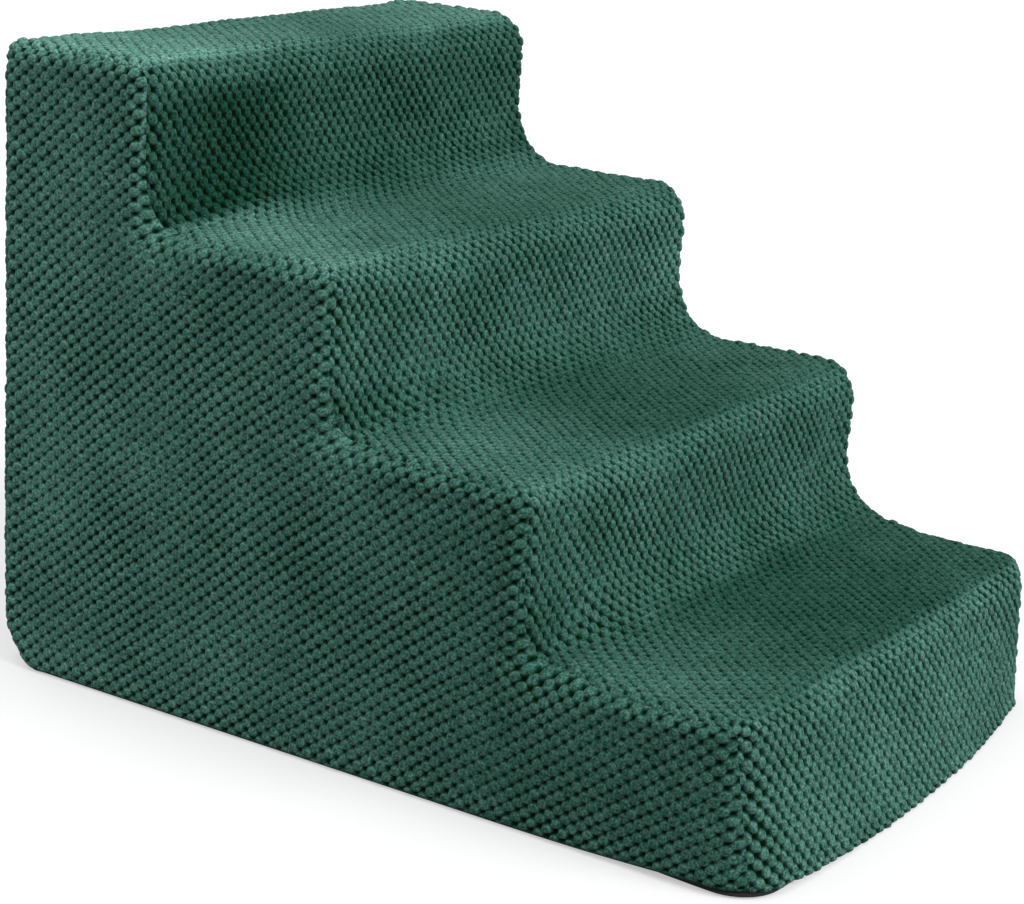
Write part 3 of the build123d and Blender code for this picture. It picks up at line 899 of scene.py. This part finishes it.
def addNode(tree, kind, settings=None, inputs=None):
    # an input is a value, or the output that it is linked to
    node = tree.nodes.new("ShaderNode" + kind)
    for key, value in (settings or {}).items():
        setattr(node, key, value)
    for key, value in (inputs or {}).items():
        if isinstance(value, bpy.types.NodeSocket):
            tree.links.new(value, node.inputs[key])
        else:
            node.inputs[key].default_value = value
    return node


def attribute(tree, name):
    return addNode(tree, "Attribute", {"attribute_name": name}).outputs


def newMaterial(name):
    material = bpy.data.materials.new(name)
    material.use_nodes = True
    material.node_tree.nodes.clear()
    return material, material.node_tree


def maths(tree, operation, *values, kind="Math"):
    return addNode(tree, kind, {"operation": operation}, dict(enumerate(values))).outputs[0]


def vectors(tree, operation, *values):
    return maths(tree, operation, *values, kind="VectorMath")


def ranged(tree, value, low, high, start=0.0, end=1.0, curve="LINEAR"):
    # value from low to high made into start to end
    inputs = {"Value": value, "From Min": low, "From Max": high, "To Min": start, "To Max": end}
    return addNode(tree, "MapRange", {"interpolation_type": curve}, inputs).outputs["Result"]


def noise(tree, place, scale, detail, roughness=0.5):
    # scale in grains per metre
    inputs = {"Vector": place, "Scale": scale, "Detail": detail, "Roughness": roughness}
    return addNode(tree, "TexNoise", inputs=inputs).outputs["Fac"]


def bumped(tree, height, strength, depth, **extra):
    # depth in metres
    inputs = {"Height": height, "Strength": strength, "Distance": depth, **extra}
    return addNode(tree, "Bump", inputs=inputs).outputs["Normal"]


def surface(tree, colour, roughness, normal, **extra):
    inputs = {"Base Color": colour, "Roughness": roughness, "Normal": normal, **extra}
    shader = addNode(tree, "BsdfPrincipled", inputs=inputs)
    addNode(tree, "OutputMaterial", inputs={"Surface": shader.outputs[0]})


# bubble plush: dyed polyester pile, with painted shade darkest down between the balls
pile = {
    # ball colours from the middle out: the top, a painted highlight on the rim, painted shade on the flank and darkest
    # painted shade in the pit
    "pitShade": "#0a1d17", "flankShade": "#2d423d", "rimHighlight": "#496860", "top": "#416059", "sheen": "#a0c8b8",
    "topAt": 0.3, "rimHighlightAt": 0.66, "flankShadeAt": 0.88, "pitShadeAt": 1.06,  # distances from a ball's middle, in ball radii
    "dye": (0.0155, 0.0, 0.0102),  # takes out red and blue, most where it is dark
    "ragged": 0.22, "ballBump": 0.0011, "fibreBump": 0.0010,
    "fibreScale": 680.0, "fibreDark": 0.47, "fibreLight": 1.58,  # specks about a millimetre and a half wide
    "clumpScale": 230.0, "clumpDark": 0.86, "clumpLight": 1.14,  # tufts that lean one way
    "napScale": 15.0, "napDark": 0.88, "napLight": 1.13,  # brushed patches a few centimetres wide
    "fibreDetail": 2.5, "clumpDetail": 2.0, "napDetail": 3.0, "noiseRoughness": 0.62,
}


def ballDistance(tree):
    # distance to the nearest ball's middle: two sets of balls, half a period apart
    grid = attribute(tree, "pileGrid")["Vector"]
    share = addNode(tree, "SeparateXYZ", inputs={0: grid}).outputs[2]
    join = attribute(tree, "pileJoin")["Fac"]
    power = plush["squareness"]
    found = []
    for shift in (0.5, 0.0):
        part = vectors(tree, "FRACTION", vectors(tree, "ADD", grid, (shift, shift, 0)))
        flat = vectors(tree, "MULTIPLY_ADD", part, (2, 2, 0), (-1, -1, 0))
        # the balls run together along one diagonal, with painted shade in darker lines between their rows
        parts = addNode(tree, "SeparateXYZ", inputs={0: flat}).outputs
        swapped = addNode(tree, "CombineXYZ", inputs={0: parts[1], 1: parts[0]}).outputs[0]
        rows = vectors(tree, "ABSOLUTE", vectors(tree, "MULTIPLY_ADD", swapped, join, flat))
        sides = addNode(tree, "SeparateXYZ", inputs={0: rows}).outputs
        powers = [maths(tree, "POWER", sides[axis], power) for axis in (0, 1)]
        found.append(maths(tree, "POWER", maths(tree, "ADD", *powers), 1 / power))
    return maths(tree, "DIVIDE", maths(tree, "MINIMUM", *found), share)


def plushMaterial():
    material, tree = newMaterial("bubblePlush")
    place = addNode(tree, "TexCoord").outputs["Object"]
    distance = ballDistance(tree)
    noises = {kind: noise(tree, place, pile[kind + "Scale"], pile[kind + "Detail"], pile["noiseRoughness"])
              for kind in ("fibre", "clump", "nap")}
    ragged = maths(tree, "MULTIPLY_ADD", noises["fibre"], pile["ragged"], distance)
    ragged = maths(tree, "SUBTRACT", ragged, pile["ragged"] / 2)
    # the ramp paints a highlight on the balls' rims and shade on their flanks and in the pits
    depth = addNode(tree, "ValToRGB", inputs={"Fac": maths(tree, "MULTIPLY", ragged, 0.5)})
    ramp = depth.color_ramp.elements
    ramp[0].position, ramp[0].color = pile["topAt"] / 2, linear(pile["top"])
    ramp[1].position, ramp[1].color = pile["pitShadeAt"] / 2, linear(pile["pitShade"])
    for kind in ("flankShade", "rimHighlight"):
        ramp.new(pile[kind + "At"] / 2).color = linear(pile[kind])
    # painted light and shade levels, times the noises
    product = attribute(tree, "pilePaintedLight")["Fac"]
    for kind, value in noises.items():
        level = ranged(tree, value, 0.36, 0.64, pile[kind + "Dark"], pile[kind + "Light"])
        product = maths(tree, "MULTIPLY", product, level)
    scaled = addNode(tree, "VectorMath", {"operation": "SCALE"}, {0: depth.outputs["Color"], "Scale": product})
    colour = vectors(tree, "MAXIMUM", vectors(tree, "SUBTRACT", scaled.outputs[0], pile["dye"]), (0, 0, 0))
    # bump: the ball's round edge, then fibres that break it into tufts
    edge = ranged(tree, distance, 0.45, 1.2, 1.0, 0.0, "SMOOTHERSTEP")
    rough = maths(tree, "ADD", noises["fibre"], noises["clump"])
    bump = bumped(tree, rough, 0.7, pile["fibreBump"], Normal=bumped(tree, edge, 1.0, pile["ballBump"]))
    surface(tree, colour, 0.9, bump, **{"Specular IOR Level": 0.06, "Sheen Weight": 0.1, "Sheen Roughness": 0.4,
                                        "Sheen Tint": linear(pile["sheen"])})
    return material


bubblePlush = plushMaterial()
for piece, node in ((coverStrip, "cover_step_panel"), (coverLeft, "cover_left_panel"),
                    (coverRight, "cover_right_panel"), (coverFlap, "cover_back_flap"),
                    (coverBorder, "cover_back_border")):
    piece.data.materials.append(bubblePlush)
    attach(piece, "stairs")
    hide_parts(node)


def surfaceMaterial(name, dark, light, roughness, scale, bumpDepth, **extra):
    # colour, roughness and bump from one fine noise
    material, tree = newMaterial(name)
    place = addNode(tree, "TexCoord").outputs["Object"]
    grain, cloud = noise(tree, place, scale, 4.0, 0.6), noise(tree, place, scale / 14, 2.0)
    tone = ranged(tree, maths(tree, "ADD", grain, cloud), 0.7, 1.3)
    rough = ranged(tree, grain, 0.3, 0.7, roughness - 0.07, roughness + 0.07)
    surface(tree, toned(tree, tone, dark, light), rough, bumped(tree, grain, 0.6, bumpDepth), **extra)
    return material


def toned(tree, share, dark, light):
    inputs = {"Factor": share, 6: linear(dark), 7: linear(light)}
    return addNode(tree, "Mix", {"data_type": "RGBA"}, inputs).outputs[2]


def wovenMaterial(name, dark, light, period):
    # plain weave from two crossed sets of threads, period in metres
    material, tree = newMaterial(name)
    place = addNode(tree, "TexCoord").outputs["Object"]
    axes = addNode(tree, "SeparateXYZ", inputs={0: place}).outputs
    threads = [maths(tree, "SINE", maths(tree, "MULTIPLY", axes[axis], 2 * math.pi / period)) for axis in (0, 2)]
    weave = ranged(tree, maths(tree, "MULTIPLY", *threads), -1.0, 1.0)
    surface(tree, toned(tree, weave, dark, light), 0.75, bumped(tree, weave, 0.8, 0.00015),
            **{"Sheen Weight": 0.2, "Sheen Roughness": 0.4})
    return material


blackFabric = surfaceMaterial("blackNonSlipFabric", "#0a0a0b", "#1d1d1f", 0.8, 1400.0, 0.0003)
gripRubber = surfaceMaterial("blackGripRubber", "#101011", "#1a1a1b", 0.5, 900.0, 0.00005)
nylon = surfaceMaterial("dyedNylonCoil", "#0f2a21", "#1b4135", 0.38, 1100.0, 0.00004)
thread = surfaceMaterial("dyedSewingThread", "#16382c", "#285a49", 0.6, 2600.0, 0.0001)
enamel = surfaceMaterial("blackEnamelledZinc", "#0b0b0c", "#151517", 0.3, 600.0, 0.00003,
                         **{"Metallic": 0.2, "Coat Weight": 0.35})
foamCream = surfaceMaterial("creamPolyurethaneFoam", "#cfc6ae", "#efe9d8", 0.95, 700.0, 0.0008)
tapeWeave = wovenMaterial("dyedWovenTape", "#0e241d", "#1f4638", 0.0007)

for piece, node, finish, slot in ((coilInner, "zip_coil_inner", nylon, "zip_coil"),
                                  (coilOuter, "zip_coil_outer", nylon, "zip_coil"),
                                  (basePanel, "base_panel", blackFabric, "base_fabric"),
                                  (gripDots, None, gripRubber, "base_fabric"),
                                  (zipStitches, None, thread, "zip_tape")):
    piece.data.materials.append(finish)
    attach(piece, "stairs")
    if node:
        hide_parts(node)

nodeFinishes = ((tapeWeave, ["zip_tape_inner", "zip_tape_outer"]),
                (enamel, ["zip_slider", "zip_pull", "zip_top_stops", "zip_bottom_stop"]),
                (foamCream, [f"foam_slab_{n}" for n in range(1, 5)]))
for finish, nodes in nodeFinishes:
    for node in nodes:
        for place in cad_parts[node].material_slots:
            place.material = finish
print("materials")

# a paper floor that looks white but throws less light up at the steps
paperLook = {"white": "#fafafa", "bounced": "#a0a0a0", "glowShare": 0.45}
bpy.ops.object.select_all(action="DESELECT")
bpy.ops.mesh.primitive_plane_add(size=30, location=(0, 0, 0))
floor = bpy.context.object
floor.name = "floorStage"
paper, tree = newMaterial("whitePaper")
matt = addNode(tree, "BsdfPrincipled", inputs={"Base Color": linear(paperLook["white"]), "Roughness": 0.9})
glow = addNode(tree, "Emission", inputs={"Color": (1, 1, 1, 1), "Strength": 1.0})
seen = addNode(tree, "MixShader", inputs={0: paperLook["glowShare"], 1: matt.outputs[0], 2: glow.outputs[0]})
bounced = addNode(tree, "BsdfDiffuse", inputs={"Color": linear(paperLook["bounced"])})
direct = addNode(tree, "LightPath").outputs["Is Camera Ray"]
mixed = addNode(tree, "MixShader", inputs={0: direct, 1: bounced.outputs[0], 2: seen.outputs[0]})
addNode(tree, "OutputMaterial", inputs={"Surface": mixed.outputs[0]})
floor.data.materials.append(paper)

world = bpy.data.worlds.new("studio")
world.use_nodes = True
background = world.node_tree.nodes["Background"].inputs
background[0].default_value, background[1].default_value = (1, 1, 1, 1), 0.5
bpy.context.scene.world = world
bpy.context.scene.view_settings.view_transform = "Standard"


# soft suns: the main one from above in front of the steps, weaker ones from above and from behind
lights = {
    "frontSun": {"toward": (0.05, -0.78, 0.62), "strength": 2.2, "spread": 40},
    "topSun": {"toward": (-0.35, 0.15, 0.92), "strength": 0.9, "spread": 60},
    "backSun": {"toward": (0.25, 0.95, 0.22), "strength": 0.8, "spread": 40},
}
for name, light in lights.items():
    data = bpy.data.lights.new(name, "SUN")
    data.energy, data.angle = light["strength"], math.radians(light["spread"])
    addObject(name, data).rotation_euler = Vector(light["toward"]).to_track_quat("Z", "Y").to_euler()
print("camera, floor and light")
